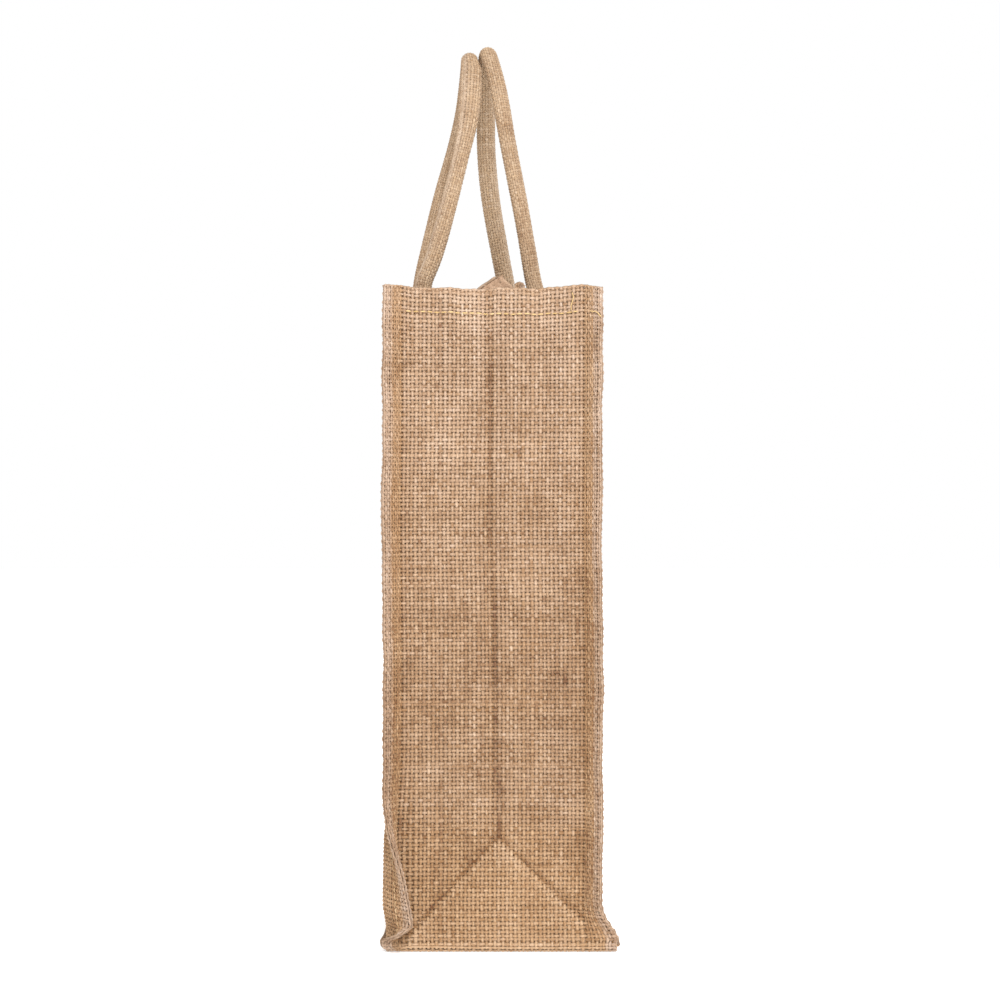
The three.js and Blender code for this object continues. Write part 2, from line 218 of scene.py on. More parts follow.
def cloth_point(wall, s, z, deep=0.0):
    """A point of a cloth: s across from the first seam, with the ridges beyond either seam."""
    first, last, _ = WALLS[wall]
    u = np.clip(s / SPAN, 0, 1)
    line, tangent, outward = wall_frame(wall, u, z)
    lay = np.full(s.shape, LAYER) - deep
    gusset = wall in ("near", "far")
    wall_lay = lay
    if gusset:
        depth = crease_depth(s if wall == "near" else SPAN - s, z)
        wall_lay = lay - depth * ease(z, 3, 14) * (0.5 if wall == "far" else 1)
    over = (s - u * SPAN)[..., None]
    spot = line + outward * wall_lay[..., None] + tangent * over
    for corner, beyond in ((first, -s), (last, s - SPAN)):
        root, along, side = ridge_frame(corner, z)
        tip = np.sqrt(1 - np.clip((beyond - 10.9) / 1.6, 0, 1) ** 2)
        sway = 0.25 * np.sin(z / 9.1 + len(corner)) + 0.18 * np.sin(z / 4.3 + 2 * CORNERS[corner][0][1])
        sway = sway * np.clip(beyond / ALLOWANCE, 0, 1)
        reach = 0.955 + 0.015 * np.sin(z / 13.7 + 3) + 0.012 * np.sin(z / 5.2) + 0.04 * (1 - ease(z, 4, 30))
        if corner == "near_back":
            reach = reach + 0.12 * (1 - ease(z, 5, 20))
        across = (lay * (1 if gusset else -1) * tip + sway)[..., None]
        ridge = root + along * (beyond * reach)[..., None] + side * across
        spot = lerp(spot, ridge, ease(beyond, -2.2, 2.2)[..., None])
    spot = np.concatenate([spot, z[..., None]], -1)
    if wall == "far":  # the tucked gusset stands up in a small folded peak beside the corner
        peak = np.clip(np.where(u < 0.7, 1 - (0.7 - u) / 0.12, 1 - (u - 0.7) / 0.11), 0, 1)
        spot[..., 0] += peak * ease(z, 305, 335) * (11.6 + 7.0 * (1 - ease(z, 343, 350)))
        spot[..., 1] -= peak * ease(z, 305, 335) * 9.0
        spot[..., 2] += peak * ease(z, 322, 350) * 12.5
    return spot


FAR_LENGTH = HEIGHT - TURN_Z
ARC = TURN_RADIUS * math.pi / 2
BASE_HALF = SEAM_HALF + LAYER - TURN_RADIUS
BASE_START = FAR_LENGTH + ARC
BASE_END = BASE_START + 2 * BASE_HALF
NEAR_START = BASE_END + ARC
STRIP_LENGTH = NEAR_START + FAR_LENGTH


def strip_point(s, t, deep=0.0):
    """A point of the gusset strip: t runs from the far rim, under the base, to the near rim."""
    far = cloth_point("far", s, np.clip(HEIGHT - t, TURN_Z, HEIGHT), deep)
    near = cloth_point("near", s, np.clip(TURN_Z + t - NEAR_START, TURN_Z, HEIGHT), deep)
    radius = TURN_RADIUS - deep
    x = s - SEAM_HALF
    out = np.where((t < FAR_LENGTH)[..., None], far, near)
    turn = np.clip((t - FAR_LENGTH) / TURN_RADIUS, 0, math.pi / 2)
    first = np.stack(
        [x, BASE_HALF + radius * np.cos(turn), TURN_Z - radius * np.sin(turn)], -1
    )
    flat = np.stack([x, BASE_HALF - (t - BASE_START), np.full(t.shape, BASE_Z) + deep], -1)
    back = np.clip((t - BASE_END) / TURN_RADIUS, 0, math.pi / 2)
    second = np.stack(
        [x, -BASE_HALF - radius * np.sin(back), TURN_Z - radius * np.cos(back)], -1
    )
    out = np.where(((t >= FAR_LENGTH) & (t < BASE_START))[..., None], first, out)
    out = np.where(((t >= BASE_START) & (t <= BASE_END))[..., None], flat, out)
    return np.where(((t > BASE_END) & (t < NEAR_START))[..., None], second, out)


def settle(p):
    """The slack of the whole bag: the same small shift for every piece at one place."""
    x, y, z = p[..., 0], p[..., 1], p[..., 2]
    q = p.copy()
    body = ease(z, 2, 30)
    q[..., 0] += body * (0.3 * np.sin(z / 37 + y / 31) + 0.15 * np.sin(z / 17.3 - y / 15 + 1.2))
    q[..., 1] += body * (0.6 * np.sin(z / 43 + x / 27 + 0.8) + 0.35 * np.sin(z / 14.7 + x / 19))
    rim = ease(z, 305, 350)
    near_side = 1 - ease(y, -45, -20)
    edge = 1.3 * ease(np.abs(x), 12, 52) - 1.1 + 0.35 * np.sin(x / 5.1) + 0.2 * np.sin(x / 2.1)
    edge = edge + 1.0 * bump(x, 48, 3.5) - 1.1 * bump(x, 57, 3.0) + 0.5 * bump(x, -46, 4)
    q[..., 2] += rim * near_side * edge
    # the rim is pulled up where the gusset is tucked in at the far corner
    tuck = 9.0 * bump(x, 16.5, 6.5) + 4.0 * bump(x, 10, 10)
    q[..., 2] += ease(z, 300, 350) * tuck * ease(y, 14, 33)
    # the panel bulges beside the near bottom corner, and the other corner is pushed out
    bulge = np.exp(-(((y + 34) / 15) ** 2)) * ease(z, 0.5, 4) * (1 - ease(z, 55, 110))
    q[..., 0] -= 8.2 * bulge * ease(-x, 38, 47)
    pull = (0.4 + 0.6 * np.exp(-(((y + 48) / 20) ** 2))) * (1 - ease(z, 10, 24))
    q[..., 0] += 5.8 * pull * ease(-x, 44, 58)
    push = np.exp(-(((y + 46) / 14) ** 2)) * (1 - ease(z, 3, 24))
    q[..., 0] += 4.3 * push * ease(x, 40, 60)
    return q


# ---------------------------------------------------------------- yarn, spun from grids
def strands(centres, normals, half_wide, half_thick, sides, tone, lift, cut, pale=None):
    """Rings of points round many yarns at once, with pointed ends."""
    tangent = unit(np.gradient(centres, axis=1))
    side = unit(np.cross(tangent, normals))
    face = unit(np.cross(side, tangent))
    angle = np.linspace(0, 2 * np.pi, sides + 1)
    rings = (
        centres[:, :, None]
        + face[:, :, None] * (half_thick[:, :, None] * np.cos(angle))[..., None]
        + side[:, :, None] * (half_wide[:, :, None] * np.sin(angle))[..., None]
    )
    rings[:, :, -1] = rings[:, :, 0]
    start = centres[:, :1] - tangent[:, :1] * cut
    end = centres[:, -1:] + tangent[:, -1:] * cut
    rings = np.concatenate(
        [np.repeat(start[:, :, None], sides + 1, 2), rings, np.repeat(end[:, :, None], sides + 1, 2)], 1
    )
    count = rings.shape[0]
    if tone is None:
        tone = np.zeros(centres.shape[:2]) + rng.uniform(0.2, 0.8, (count, 1))
    if pale is None:
        pale = np.zeros(centres.shape[:2])

    def pad(v):
        return np.concatenate([v[:, :1], v, v[:, -1:]], 1)

    tone = np.repeat(pad(tone)[:, :, None], sides + 1, 2)
    pale = np.repeat(pad(pale)[:, :, None], sides + 1, 2)
    # painted shade: a yarn's lift, which darkens its colour where low, is raised on its outer face and
    # lowered on its inner face
    up = 0.16 * np.cos(angle)[None, None]
    lift = np.clip(np.repeat(pad(lift)[:, :, None], sides + 1, 2) + up, 0, 1)
    return {"rings": rings, "tone": tone, "lift": lift, "pale": pale}


def lay_grid(mesh, points, values, uv):
    """Put a grid's points, its named values and its unwrapped layout in place, row by row."""
    mesh.vertices.foreach_set("co", (points * MM).astype(np.float32).ravel())
    for label, value in values.items():
        layer = mesh.attributes.new(label, "FLOAT", "POINT")
        layer.data.foreach_set("value", value.astype(np.float32).ravel())
    corner = np.zeros(len(mesh.loops), np.int32)
    mesh.loops.foreach_get("vertex_index", corner)
    layer = mesh.uv_layers.new(name="OFBake")
    layer.data.foreach_set("uv", uv.reshape(-1, 2)[corner].astype(np.float32).ravel())


def finished(name, mesh, material):
    mesh.shade_smooth()
    obj = bpy.data.objects.new(name, mesh)
    bpy.context.scene.collection.objects.link(obj)
    mesh.materials.append(material)
    return obj


def even_run(count):
    """Even steps across a layout, just clear of its edges."""
    return np.linspace(0.002, 0.998, count)


def yarn_piece(name, sets, material):
    """One mesh of many closed yarns. Each set is rolled from one long grid."""
    whole = bmesh.new()
    total = sum(s["rings"].shape[0] * s["rings"].shape[2] for s in sets)
    used = 0
    for part in sets:
        rings = part["rings"]
        yarns, rows, around = rings.shape[:3]
        bm = bmesh.new()
        bmesh.ops.create_grid(bm, x_segments=yarns * around - 1, y_segments=rows - 1, size=1)
        between = [f for k, f in enumerate(bm.faces) if k % (yarns * around - 1) % around == around - 1]
        bmesh.ops.delete(bm, geom=between, context="FACES")
        mesh = bpy.data.meshes.new("yarn")
        bm.to_mesh(mesh)
        bm.free()
        uv = np.zeros((rows, yarns, around, 2))
        uv[..., 0] = (np.arange(yarns)[:, None] * around + np.arange(around) * 0.9 + 0.05 + used) / total
        uv[..., 1] = even_run(rows)[:, None, None]
        values = {label: part[label].transpose(1, 0, 2) for label in ("tone", "lift", "pale")}
        lay_grid(mesh, rings.transpose(1, 0, 2, 3), values, uv)
        whole.from_mesh(mesh)
        bpy.data.meshes.remove(mesh)
        used += yarns * around
    bmesh.ops.remove_doubles(whole, verts=whole.verts, dist=1e-7)
    mesh = bpy.data.meshes.new(name)
    whole.to_mesh(mesh)
    whole.free()
    return finished(name, mesh, material)


AMPLITUDE = 0.42  # how far a yarn rises and dips at a crossing
YARN_HALF_THICK = 0.46
FILM_COLUMNS = 60


def between_nodes(v):
    """A table with a new value half way between each two neighbours along its second axis."""
    rows = v.shape[1]
    out = np.zeros((v.shape[0], 2 * rows - 1) + v.shape[2:])
    out[:, ::2] = v
    out[:, 1::2] = (v[:, :-1] + v[:, 1:]) / 2
    return out


def yarn_set(nodes, normals, sign, spacing, wide, tones, pale, amplitude, thick, swell=1.0):
    """Yarns that pass over and under: sign is 1 where a yarn is on top of its crossing."""
    count, rows = nodes.shape[:2]
    height = sign * amplitude
    centres = between_nodes(nodes + normals * height[..., None])
    face = unit(between_nodes(normals))
    crown, middle, trough = wide
    share = between_nodes(np.where(sign > 0, crown, trough))
    share[:, 1::2] = middle
    slub = 1 + drift((count, 2 * rows - 1), (1, 9), 0.06) + rng.normal(0, 0.06, (count, 1))
    nubs = np.clip(drift((count, 2 * rows - 1), (1, 5), 1.0) - 2.3, 0, 1) * 0.4
    slub = np.clip(slub + nubs, 0.72, 1.6)
    swell = between_nodes(np.ones((count, rows)) * swell)
    half_wide = np.minimum(between_nodes(spacing) * share, 1.25) * slub * swell
    half_thick = np.full(slub.shape, thick) * np.clip(slub, 0.8, 1.25)
    # painted shade: a yarn's lift is high where it passes over a crossing and low where it dips under one
    level = between_nodes(np.clip(0.5 + 0.5 * sign, 0.12, 1.0))
    tone = tones + drift((count, 2 * rows - 1), (1, 14), 0.045) + drift((count, 2 * rows - 1), (1, 2), 0.075)
    pale = between_nodes(pale) + rng.normal(0, 0.08, (count, 1)) + drift((count, 2 * rows - 1), (1, 6), 0.07)
    return strands(centres, face, half_wide, half_thick, 4, tone, level, 0.35, np.clip(pale, 0, 1))


def weave(name, nodes, warp_material, weft_material, warp_tone, weft_tone, stain_and_shading=None, pale=None):
    """Warp and weft yarns of one cloth, on the table of its crossings."""
    across, rows = nodes.shape[:2]
    normals = unit(np.cross(np.gradient(nodes, axis=0), np.gradient(nodes, axis=1)))
    sign = np.where((np.arange(across)[:, None] + np.arange(rows)[None]) % 2 == 0, 1.0, -1.0)
    apart = np.linalg.norm(np.gradient(nodes, axis=0), axis=-1)
    stacked = np.linalg.norm(np.gradient(nodes, axis=1), axis=-1)
    stain_and_shading = np.zeros((across, rows)) if stain_and_shading is None else stain_and_shading
    pale = np.full((across, rows), 0.56) if pale is None else pale
    dense = 1 - ease(apart, 1.25, 1.9)
    warp = yarn_set(
        nodes, normals, sign, apart, (0.44, 0.385, 0.33), warp_tone + between_nodes(stain_and_shading), pale,
        AMPLITUDE, YARN_HALF_THICK, 1 + 0.32 * dense,
    )
    turn = (1, 0, 2)
    weft = yarn_set(
        nodes.transpose(turn), normals.transpose(turn), -sign.T, stacked.T, (0.435, 0.375, 0.315),
        weft_tone + between_nodes(stain_and_shading.T), pale.T,
        AMPLITUDE * (1 - 0.75 * dense.T), YARN_HALF_THICK, 1 - 0.25 * dense.T,
    )
    made = [
        yarn_piece(name + "_warp_yarns", [warp], warp_material),
        yarn_piece(name + "_weft_yarns", [weft], weft_material),
    ]
    for obj in made:
        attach(obj, "bag")
    return made


def film(name, place, s_range, t_values, material):
    """A thin open sheet on the inside of a cloth: the glued lining, or the facing of the tuck."""
    s = np.linspace(*s_range, FILM_COLUMNS)
    grid_s, grid_t = np.meshgrid(s, t_values, indexing="ij")
    spots = settle(place(grid_s, grid_t))
    bm = bmesh.new()
    bmesh.ops.create_grid(
        bm, x_segments=FILM_COLUMNS - 1, y_segments=len(t_values) - 1, size=1, calc_uvs=False
    )
    mesh = bpy.data.meshes.new(name)
    bm.to_mesh(mesh)
    bm.free()
    tone = 0.45 + 0.13 * np.sin(grid_s * 3.4 + grid_t * 0.5) + drift(grid_s.shape, (2, 5), 0.1)
    tone = tone - 0.5 * bump(grid_s / SPAN, 0.715, 0.008)  # painted shadow in the fold of the tuck
    level = np.ones(tone.T.shape)
    uv = np.stack(np.meshgrid(even_run(FILM_COLUMNS), even_run(len(t_values)), indexing="xy"), -1)
    lay_grid(mesh, spots.transpose(1, 0, 2), {"tone": tone.T, "lift": level, "pale": 0.4 * level}, uv)
    mesh.update()
    obj = finished(name, mesh, material)
    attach(obj, "bag")
    return obj


# ---------------------------------------------------------------- materials
def new_material(name, roughness):
    material = bpy.data.materials.new(name)
    material.use_nodes = True
    tree = material.node_tree
    shader = tree.nodes["Principled BSDF"]
    shader.inputs["Roughness"].default_value = roughness
    shader.inputs["Specular IOR Level"].default_value = 0.15
    return material, tree, shader


def noise(tree, coords, scale, detail=3.0, stretch=None):
    node = tree.nodes.new("ShaderNodeTexNoise")
    node.inputs["Scale"].default_value = scale
    node.inputs["Detail"].default_value = detail
    source = coords
    if stretch:
        mapping = tree.nodes.new("ShaderNodeMapping")
        mapping.inputs["Scale"].default_value = stretch
        tree.links.new(coords, mapping.inputs["Vector"])
        source = mapping.outputs["Vector"]
    tree.links.new(source, node.inputs["Vector"])
    return node.outputs["Fac"]


def math_node(tree, operation, a, b, clamp=False):
    node = tree.nodes.new("ShaderNodeMath")
    node.operation = operation
    node.use_clamp = clamp
    for socket, value in zip(node.inputs, (a, b)):
        if isinstance(value, (int, float)):
            socket.default_value = value
        else:
            tree.links.new(value, socket)
    return node.outputs[0]


def attribute(tree, label):
    node = tree.nodes.new("ShaderNodeAttribute")
    node.attribute_name = label
    return node.outputs["Fac"]


def press(tree, shader, height, strength, distance):
    node = tree.nodes.new("ShaderNodeBump")
    node.inputs["Strength"].default_value = strength
    node.inputs["Distance"].default_value = distance
    tree.links.new(height, node.inputs["Height"])
    tree.links.new(node.outputs["Normal"], shader.inputs["Normal"])


def roughen(tree, shader, pattern, amount, least):
    spread = math_node(tree, "MULTIPLY", pattern, amount)
    tree.links.new(math_node(tree, "ADD", spread, least, True), shader.inputs["Roughness"])


def ramp(tree, factor, stops):
    node = tree.nodes.new("ShaderNodeValToRGB")
    elements = node.color_ramp.elements
    while len(elements) < len(stops):
        elements.new(0.5)
    for element, (place, colour) in zip(elements, stops):
        element.position = place
        element.color = (*colour, 1)
    tree.links.new(factor, node.inputs["Fac"])
    return node.outputs["Color"]


def fade(colour):
    """The same tint with less orange in it, as bast fibre goes where it is rubbed and aired."""
    red, green, blue = colour
    return (red * 0.985, green * 1.085 + 0.004, blue * 1.36 + 0.006)


def spun_yarn(name, stops, roughness=0.85, fibre=(900, 900, 260), depth=0.0002, painted_gap_shade=0.64, sheen=0.12):
    """Spun bast or cotton yarn: tone by yarn, fibre streaks, and painted shade that darkens the colour down
    between and under the yarns.
    """
    material, tree, shader = new_material(name, roughness)
    tone, lift, pale = (attribute(tree, label) for label in ("tone", "lift", "pale"))
    coords = tree.nodes.new("ShaderNodeTexCoord").outputs["Object"]
    streaks = noise(tree, coords, 1.0, 4.0, fibre)
    blotch = noise(tree, coords, 60.0, 3.0)
    speck = math_node(tree, "MULTIPLY", math_node(tree, "SUBTRACT", streaks, 0.5), 0.9)
    patch = math_node(tree, "MULTIPLY", math_node(tree, "SUBTRACT", blotch, 0.5), 0.5)
    factor = math_node(tree, "ADD", math_node(tree, "ADD", tone, speck), patch, True)
    colour = ramp(tree, factor, stops)
    faded = ramp(tree, factor, [(place, fade(tint)) for place, tint in stops])
    blend = tree.nodes.new("ShaderNodeMix")
    blend.data_type = "RGBA"
    tree.links.new(pale, blend.inputs["Factor"])
    tree.links.new(colour, blend.inputs["A"])
    tree.links.new(faded, blend.inputs["B"])
    # painted shade: the colour is multiplied darker where the yarn's lift is low, between and under the
    # yarns
    raised = math_node(tree, "MULTIPLY", lift, 1 - painted_gap_shade)
    shade = math_node(tree, "ADD", raised, painted_gap_shade, True)
    mix = tree.nodes.new("ShaderNodeMix")
    mix.data_type = "RGBA"
    mix.blend_type = "MULTIPLY"
    mix.inputs["Factor"].default_value = 1.0
    tree.links.new(blend.outputs["Result"], mix.inputs["A"])
    tree.links.new(shade, mix.inputs["B"])
    tree.links.new(mix.outputs["Result"], shader.inputs["Base Color"])
    press(tree, shader, streaks, 0.7, depth)
    roughen(tree, shader, streaks, 0.25, roughness - 0.12)
    shader.inputs["Sheen Weight"].default_value = sheen
    shader.inputs["Sheen Roughness"].default_value = 0.5
    shader.inputs["Sheen Tint"].default_value = (1.0, 0.86, 0.66, 1)
    return material


JUTE_STOPS = [
    (0.0, (0.175, 0.079, 0.035)), (0.3, (0.315, 0.176, 0.086)),
    (0.6, (0.434, 0.272, 0.152)), (1.0, (0.574, 0.400, 0.254)),
]
WEFT_STOPS = [
    (0.0, (0.161, 0.072, 0.029)), (0.3, (0.294, 0.162, 0.076)),
    (0.6, (0.406, 0.251, 0.138)), (1.0, (0.546, 0.375, 0.236)),
]
jute_warp = spun_yarn("jute_warp", JUTE_STOPS)
jute_weft = spun_yarn("jute_weft", WEFT_STOPS, fibre=(260, 260, 900))
handle_stops = [
    (0.0, (0.215, 0.122, 0.063)), (0.3, (0.325, 0.208, 0.117)),
    (0.6, (0.428, 0.296, 0.178)), (1.0, (0.560, 0.415, 0.280)),
]
handle_braid = spun_yarn("handle_braid", handle_stops, fibre=(1100, 1100, 420), painted_gap_shade=0.8)
yellow_thread = spun_yarn(
    "sewing_thread",
    [(0.0, (0.330, 0.205, 0.080)), (0.4, (0.520, 0.352, 0.152)), (1.0, (0.680, 0.505, 0.265))],
    roughness=0.6, fibre=(1500, 1500, 1500), painted_gap_shade=0.8,
)
seam_thread = spun_yarn(
    "seam_thread",
    [(0.0, (0.272, 0.153, 0.068)), (0.4, (0.442, 0.289, 0.153)), (1.0, (0.595, 0.425, 0.255))],
    roughness=0.7, fibre=(1500, 1500, 1500), painted_gap_shade=0.8,
)
fibre_hair = spun_yarn(
    "loose_fibre", [(0.0, (0.5, 0.33, 0.17)), (1.0, (0.9, 0.72, 0.48))], roughness=0.7, painted_gap_shade=0.9,
)


def lining_material():
    """Clear film glued over the inside of the cloth, with the weave pressed into it. Its dark brown colour
    is painted shade: the shaded inside of the bag seen through the clear film.
    """
    material, tree, shader = new_material("film_lining", 0.5)
    coords = tree.nodes.new("ShaderNodeTexCoord").outputs["UV"]
    waves = []
    for direction, count in (("X", 57.0), ("Y", 380.0)):
        node = tree.nodes.new("ShaderNodeTexWave")
        node.bands_direction = direction
        node.inputs["Scale"].default_value = count / 3.142
        node.inputs["Distortion"].default_value = 0.6
        tree.links.new(coords, node.inputs["Vector"])
        waves.append(node.outputs["Fac"])
    pressed = math_node(tree, "MULTIPLY", waves[0], waves[1])
    where = tree.nodes.new("ShaderNodeTexCoord").outputs["Object"]
    patch = noise(tree, where, 90.0, 4.0)
    height = tree.nodes.new("ShaderNodeSeparateXYZ")
    tree.links.new(where, height.inputs["Vector"])
    # the painted shade is lighter from 329 mm up, where the hem's cloth lies behind the film, and over the
    # lowest 18 mm
    backed = []
    for low, high in ((0.329, 0.333), (0.018, 0.006)):
        limits = tree.nodes.new("ShaderNodeMapRange")
        limits.inputs["From Min"].default_value = low
        limits.inputs["From Max"].default_value = high
        limits.inputs["To Max"].default_value = 0.4
        tree.links.new(height.outputs["Z"], limits.inputs["Value"])
        backed.append(limits.outputs["Result"])
    weave_mark = math_node(tree, "MULTIPLY", pressed, 0.5)
    factor = math_node(tree, "ADD", weave_mark, math_node(tree, "MULTIPLY", patch, 0.6))
    factor = math_node(tree, "ADD", factor, math_node(tree, "ADD", backed[0], backed[1]), True)
    stops = [(0.0, (0.27, 0.112, 0.034)), (0.5, (0.44, 0.212, 0.076)), (1.0, (0.57, 0.32, 0.14))]
    colour = ramp(tree, factor, stops)
    tree.links.new(colour, shader.inputs["Base Color"])
    press(tree, shader, pressed, 0.6, 0.0004)
    roughen(tree, shader, patch, 0.3, 0.38)
    return material


lining = lining_material()
facing = spun_yarn(
    "tuck_facing_cloth",
    [(0.0, (0.230, 0.127, 0.067)), (0.5, (0.448, 0.277, 0.162)), (1.0, (0.627, 0.418, 0.259))],
    roughness=0.8, fibre=(1400, 300, 900), depth=0.0004, painted_gap_shade=1.0,
)

# ---------------------------------------------------------------- the woven cloths
RIDGE_YARNS = np.array([0.8, 2.2, 3.6, 5.0, 6.4, 7.8, 9.3, 10.8, 12.2])
WALL_YARNS = np.linspace(WALL_INSET, SPAN - WALL_INSET, 44)
ACROSS = np.concatenate([-RIDGE_YARNS[::-1], WALL_YARNS, SPAN + RIDGE_YARNS])
HEM_COLUMNS = slice(len(RIDGE_YARNS) + 1, len(RIDGE_YARNS) + len(WALL_YARNS) - 1)


def crossings(across, along):
    """The table of crossings, with each yarn a little off its place and wandering."""
    count, rows = len(across), len(along)
    s = across[:, None] + drift((count, rows), (2, 24), WANDER) + rng.normal(0, 0.10, (count, 1))
    t = along[None] + drift((count, rows), (14, 1), WANDER) + rng.normal(0, 0.13, (1, rows))
    beyond = np.maximum(-across, across - SPAN)[:, None]
    s = np.where(beyond > LAST_YARN, across[:, None], s)
    return s, t


strip_rows = int(round(STRIP_LENGTH / YARN_PITCH))
strip_t = np.linspace(0.1, STRIP_LENGTH - 0.1, strip_rows)
strip_s, strip_tt = crossings(ACROSS, strip_t)
strip_tt = np.clip(strip_tt, 0.0, STRIP_LENGTH)
strip_nodes = settle(strip_point(strip_s, strip_tt))
warp_tone = 0.495 + rng.normal(0, 0.045, (len(ACROSS), 1))
weft_tone = 0.515 + rng.normal(0, 0.055, (strip_rows, 1))
# the allowances carry painted shade in the valley right at the seam, are a little darker over the allowance,
# and are aired and pale out at their edge
band = np.maximum(-ACROSS, ACROSS - SPAN)[:, None]
BAND_STAIN_AND_SHADE = -0.17 * bump(band, -0.4, 1.0) - 0.07 * ease(band, -1.0, 0.6) * (1 - ease(band, 5.5, 8.0))
WALL_SHARE = 1 - ease(band, -1.5, 0.5)
BAND_PALE = 0.95 * ease(band, 6.0, 9.0)


FLECKS = ((27.6, 185.5, 0.7), (38, 143.5, 0.6), (-30, 120, 0.4), (14, 262, 0.4), (-18, 221, 0.35))


def gusset_stain_and_shading(s, t):
    """Painted shade in the pressed folds, painted light beside the corner folds and on the lowest rows,
    darker patches, and the odd dark thread and fleck.
    """
    z = np.where(t < FAR_LENGTH, HEIGHT - t, t - NEAR_START + TURN_Z)
    x = np.where(t < FAR_LENGTH, SEAM_HALF - s, s - SEAM_HALF)
    middle, fold_z = pressed_folds(x, z)
    wall = (np.abs(x) < SEAM_HALF - 1) & (z > 5)
    # painted shade: darker up the middle fold and along the two folds to the corners
    fold = bump(x, middle, 1.5) * (z > 60) + 0.95 * bump(z, fold_z + 0.8, 1.8) * (z < 61)
    stain_and_shading = -0.30 * fold * wall + drift(s.shape, (9, 11), 0.035)
    # painted highlight just below the folds to the corners, and painted light from the floor on the lowest
    # rows
    stain_and_shading = stain_and_shading + 0.18 * bump(z, fold_z - 3.4, 1.8) * (z < 58) * wall + 0.3 * (1 - ease(z, 2, 8))
    # darker rows at two heights, and two broad darker patches
    stain_and_shading = stain_and_shading - 0.14 * bump(z, 308.5, 1.3) * (x < 10) - 0.12 * bump(z, 213, 1.2) * (x > -20)
    stain_and_shading = stain_and_shading - 0.07 * bump(z, 147, 7) * bump(x, 2, 34) - 0.05 * bump(z, 232, 9) * bump(x, 20, 30)
    # a little lighter below the folds to the corners
    stain_and_shading = stain_and_shading + 0.055 * (z < fold_z) * wall
    for fleck_x, fleck_z, dark in FLECKS:
        stain_and_shading = stain_and_shading - dark * bump(x, fleck_x, 1.0) * bump(z, fleck_z, 1.6)
    return stain_and_shading


strip_stain_and_shading = gusset_stain_and_shading(strip_s, strip_tt) + BAND_STAIN_AND_SHADE
height = np.where(strip_tt < FAR_LENGTH, HEIGHT - strip_tt, strip_tt - NEAR_START + TURN_Z)
# painted light and shade by height, as light falls from above: lighter towards the top and darker around the
# middle of the walls. The cloth is also lighter over the hem.
strip_stain_and_shading = (
    strip_stain_and_shading + 0.03 * ease(height, 180, 340) - 0.10 * bump(height, 125, 95)
    + 0.08 * ease(height, 331, 335)
)
strip_pale = BAND_PALE + 0.2 * ease(height, 120, 330) + 0.46 * WALL_SHARE * ease(height, 30, 95)
far_end = int(np.searchsorted(strip_t, FAR_LENGTH + 3))
near_begin = int(np.searchsorted(strip_t, NEAR_START - 3))


def strip_cloth(name, rows):
    return weave(
        name, strip_nodes[:, rows], jute_warp, jute_weft, warp_tone, weft_tone[rows],
        strip_stain_and_shading[:, rows], strip_pale[:, rows],
    )


gusset_far = strip_cloth("far_gusset", slice(0, far_end + 1))
gusset_base = strip_cloth("base", slice(far_end, near_begin + 1))
gusset_near = strip_cloth("near_gusset", slice(near_begin, None))
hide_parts("gusset_strip")

# the hem: each wall's cloth goes over the rim and down the inside
hem_fold = [(348.9, 0.0), (349.6, 0.3), (349.8, 0.9), (349.3, 1.45)]
hem_rows = [(z, 1.62) for z in np.arange(347.9, HEIGHT - HEM_DEPTH, -YARN_PITCH)]
HEM_PATH = np.array(hem_fold + hem_rows)


def hem_piece(wall, columns, tone):
    z = np.repeat(HEM_PATH[None, ::-1, 0], len(columns), 0)
    deep = np.repeat(HEM_PATH[None, ::-1, 1], len(columns), 0)
    s = np.repeat(columns[:, None], z.shape[1], 1)
    z = z + drift(z.shape, (12, 3), 0.12)
    nodes = settle(cloth_point(wall, s, z, deep))
    if wall == "far":
        nodes = nodes[::-1]
        tone = tone[::-1]
    return weave(
        wall + "_hem", nodes[::-1], jute_warp, jute_weft, tone[::-1],
        0.52 + rng.normal(0, 0.055, (z.shape[1], 1)), None, np.full(z.shape, 0.7),
    )


for wall in ("near", "far"):
    hem_piece(wall, ACROSS[HEM_COLUMNS], warp_tone[HEM_COLUMNS])

